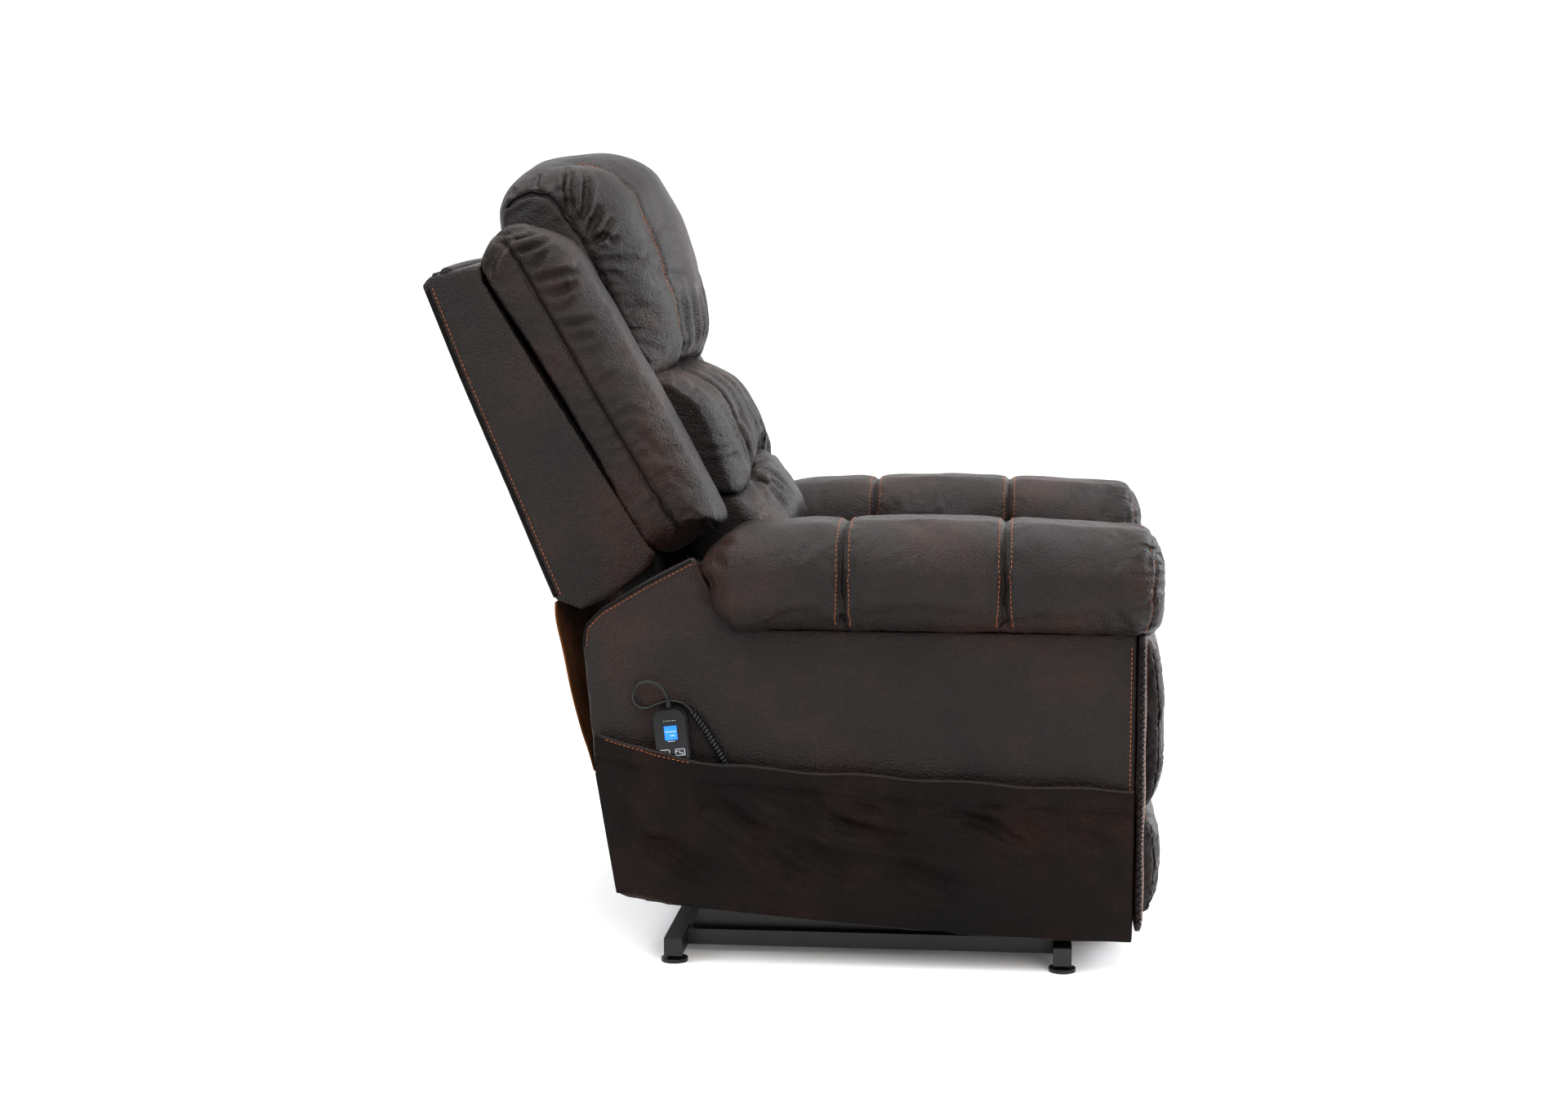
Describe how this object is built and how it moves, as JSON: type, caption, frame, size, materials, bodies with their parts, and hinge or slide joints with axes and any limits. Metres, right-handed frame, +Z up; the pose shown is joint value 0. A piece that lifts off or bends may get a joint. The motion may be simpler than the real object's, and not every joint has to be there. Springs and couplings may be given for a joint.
{
  "type": "lift recliner chair",
  "caption": "Electric lift recliner chair in dark brown leather: lifting steel base, rolled arms, reclining pillow back, powered headrest and footrest, side pocket with a corded handset.",
  "frame": {"origin": "on the floor, at the middle of the chair's width and depth, upright with the footrest closed", "axes": "the occupant faces -Y, +Z is up, +X is the occupant's left"},
  "size_m": [0.886, 1.0365, 1.1208],
  "materials": {
    "black_steel": "black powder coat, satin",
    "black_plastic": "moulded, fine texture",
    "zinc_steel": "zinc plated",
    "plywood": "raw plywood",
    "brown_leather": "dark brown pebbled leather, orange contrast stitching",
    "flap_leather": "dark leather outside, tan suede inside",
    "handset_grey": "moulded, satin",
    "blue_screen": "lit blue screen behind clear plastic",
    "cord_rubber": "satin black cord jacket"
  },
  "bodies": {
    "base": {"base_frame": "black_steel", "leveling_feet": "black_plastic", "tube_end_caps": "black_plastic", "base_pivot_pins": "zinc_steel", "power_supply": "black_plastic"},
    "rear_arms": {"rear_lift_arms": "black_steel"},
    "front_arms": {"front_lift_arms": "black_steel"},
    "lift_motor": {"lift_motor_housing": "black_plastic"},
    "lift_rod": {"lift_motor_rod": "zinc_steel"},
    "seat_body": {"mechanism_plates": "black_steel", "mechanism_cross_tubes": "black_steel", "body_pivot_pins": "zinc_steel", "seat_frame": "plywood", "seat_springs": "zinc_steel", "seat_cushion": "brown_leather", "arm_frames": "plywood", "left_side_panel": "brown_leather", "right_side_panel": "brown_leather", "left_arm_pad": "brown_leather", "right_arm_pad": "brown_leather", "arm_front_panels": "brown_leather", "inner_arm_panels": "brown_leather", "storage_pocket": "brown_leather", "rear_flap": "flap_leather", "control_box": "black_plastic", "cord_gland": "black_plastic", "handset_shell": "black_plastic", "handset_face": "handset_grey", "handset_screen": "blue_screen", "handset_cord_relief": "black_plastic", "handset_cord": "cord_rubber", "handset_curly_cord": "cord_rubber"},
    "backrest": {"back_frame": "plywood", "back_shell": "brown_leather", "left_wing_bolster": "brown_leather", "right_wing_bolster": "brown_leather", "middle_pillow": "brown_leather", "lower_pillow": "brown_leather", "back_levers": "black_steel", "headrest_motor": "black_plastic"},
    "headrest": {"headrest_board": "plywood", "head_pillow": "brown_leather"},
    "back_motor": {"back_motor_housing": "black_plastic"},
    "back_rod": {"back_motor_rod": "zinc_steel"},
    "drive_arms": {"footrest_drive_arms": "black_steel"},
    "extension_links": {"footrest_extension_links": "black_steel"},
    "control_links": {"footrest_control_links": "black_steel"},
    "footrest": {"footrest_boards": "plywood", "upper_footrest_pad": "brown_leather", "lower_footrest_pad": "brown_leather"},
    "footrest_motor": {"footrest_motor_housing": "black_plastic"},
    "footrest_rod": {"footrest_motor_rod": "zinc_steel"},
    "lift_up_key": {"lift_up_button": "handset_grey"},
    "lift_down_key": {"lift_down_button": "handset_grey"},
    "back_up_key": {"back_up_button": "handset_grey"},
    "back_down_key": {"back_down_button": "handset_grey"},
    "headrest_up_key": {"headrest_up_button": "handset_grey"},
    "headrest_down_key": {"headrest_down_button": "handset_grey"}
  },
  "joints": [
    {"name": "lift", "type": "hinge", "parent": "base", "child": "rear_arms", "pos_m": [0, -0.325, 0.07], "axis": [1, 0, 0], "range_deg": [0, 46]},
    {"name": "body_tilt", "type": "hinge", "parent": "rear_arms", "child": "seat_body", "pos_m": [0, 0.105, 0.095], "axis": [-1, 0, 0], "range_deg": [0, 23]},
    {"name": "front_arm_swing", "type": "hinge", "parent": "base", "child": "front_arms", "pos_m": [0, -0.398, 0.053], "axis": [1, 0, 0], "range_deg": [0, 55.2]},
    {"name": "lift_motor_swing", "type": "hinge", "parent": "base", "child": "lift_motor", "pos_m": [0, 0.14, 0.055], "axis": [1, 0, 0], "range_deg": [0, 1.3]},
    {"name": "lift_rod_slide", "type": "slide", "parent": "lift_motor", "child": "lift_rod", "axis": [0, -0.9759, 0.2181], "range_m": [0, 0.0693]},
    {"name": "recline", "type": "hinge", "parent": "seat_body", "child": "backrest", "pos_m": [0, 0.205, 0.4], "axis": [-1, 0, 0], "range_deg": [0, 42], "deforming": ["rear_flap"]},
    {"name": "back_motor_swing", "type": "hinge", "parent": "seat_body", "child": "back_motor", "pos_m": [0, -0.24, 0.24], "axis": [1, 0, 0], "range_deg": [0, 5.7]},
    {"name": "back_rod_slide", "type": "slide", "parent": "back_motor", "child": "back_rod", "axis": [0, 0.9873, 0.1589], "range_m": [-0.0504, 0]},
    {"name": "headrest_tilt", "type": "hinge", "parent": "backrest", "child": "headrest", "pos_m": [0, 0.2, 0.812], "axis": [1, 0, 0], "range_deg": [0, 25]},
    {"name": "footrest_drive", "type": "hinge", "parent": "seat_body", "child": "drive_arms", "pos_m": [0, -0.3, 0.3], "axis": [-1, 0, 0], "range_deg": [0, 69.3]},
    {"name": "extension_fold", "type": "hinge", "parent": "drive_arms", "child": "extension_links", "pos_m": [0, -0.376, 0.09888], "axis": [1, 0, 0], "range_deg": [0, 103.1]},
    {"name": "footrest_turn", "type": "hinge", "parent": "extension_links", "child": "footrest", "pos_m": [0, -0.45199, 0.3], "axis": [-1, 0, 0], "range_deg": [0, 121.8]},
    {"name": "control_swing", "type": "hinge", "parent": "seat_body", "child": "control_links", "pos_m": [0, -0.36, 0.37], "axis": [-1, 0, 0], "range_deg": [0, 70.5]},
    {"name": "footrest_motor_swing", "type": "hinge", "parent": "seat_body", "child": "footrest_motor", "pos_m": [0, 0.04, 0.22], "axis": [-1, 0, 0], "range_deg": [0, 2.8]},
    {"name": "footrest_rod_slide", "type": "slide", "parent": "footrest_motor", "child": "footrest_rod", "axis": [0, -0.9977, 0.0675], "range_m": [0, 0.066]},
    {"name": "lift_up_button_press", "type": "slide", "parent": "seat_body", "child": "lift_up_key", "axis": [1, 0, 0], "range_m": [0, 0.0008], "stiffness_N_per_m": 500, "springref_m": -0.0004},
    {"name": "lift_down_button_press", "type": "slide", "parent": "seat_body", "child": "lift_down_key", "axis": [1, 0, 0], "range_m": [0, 0.0008], "stiffness_N_per_m": 500, "springref_m": -0.0004},
    {"name": "back_up_button_press", "type": "slide", "parent": "seat_body", "child": "back_up_key", "axis": [1, 0, 0], "range_m": [0, 0.0008], "stiffness_N_per_m": 500, "springref_m": -0.0004},
    {"name": "back_down_button_press", "type": "slide", "parent": "seat_body", "child": "back_down_key", "axis": [1, 0, 0], "range_m": [0, 0.0008], "stiffness_N_per_m": 500, "springref_m": -0.0004},
    {"name": "headrest_up_button_press", "type": "slide", "parent": "seat_body", "child": "headrest_up_key", "axis": [1, 0, 0], "range_m": [0, 0.0008], "stiffness_N_per_m": 500, "springref_m": -0.0004},
    {"name": "headrest_down_button_press", "type": "slide", "parent": "seat_body", "child": "headrest_down_key", "axis": [1, 0, 0], "range_m": [0, 0.0008], "stiffness_N_per_m": 500, "springref_m": -0.0004}
  ],
  "couplings": [
    {"joint": "body_tilt", "follows": "lift", "ratio": 0.5},
    {"joint": "front_arm_swing", "follows": "lift", "ratio": 1.1989},
    {"joint": "lift_motor_swing", "follows": "lift", "ratio": 0.027087},
    {"joint": "lift_rod_slide", "follows": "lift", "m_per_rad": 0.086128},
    {"joint": "back_motor_swing", "follows": "recline", "ratio": 0.13509},
    {"joint": "back_rod_slide", "follows": "recline", "m_per_rad": -0.068582},
    {"joint": "extension_fold", "follows": "footrest_drive", "ratio": 1.4863},
    {"joint": "footrest_turn", "follows": "footrest_drive", "ratio": 1.7561},
    {"joint": "control_swing", "follows": "footrest_drive", "ratio": 1.0159},
    {"joint": "footrest_motor_swing", "follows": "footrest_drive", "ratio": 0.040332},
    {"joint": "footrest_rod_slide", "follows": "footrest_drive", "m_per_rad": 0.05445}
  ]
}
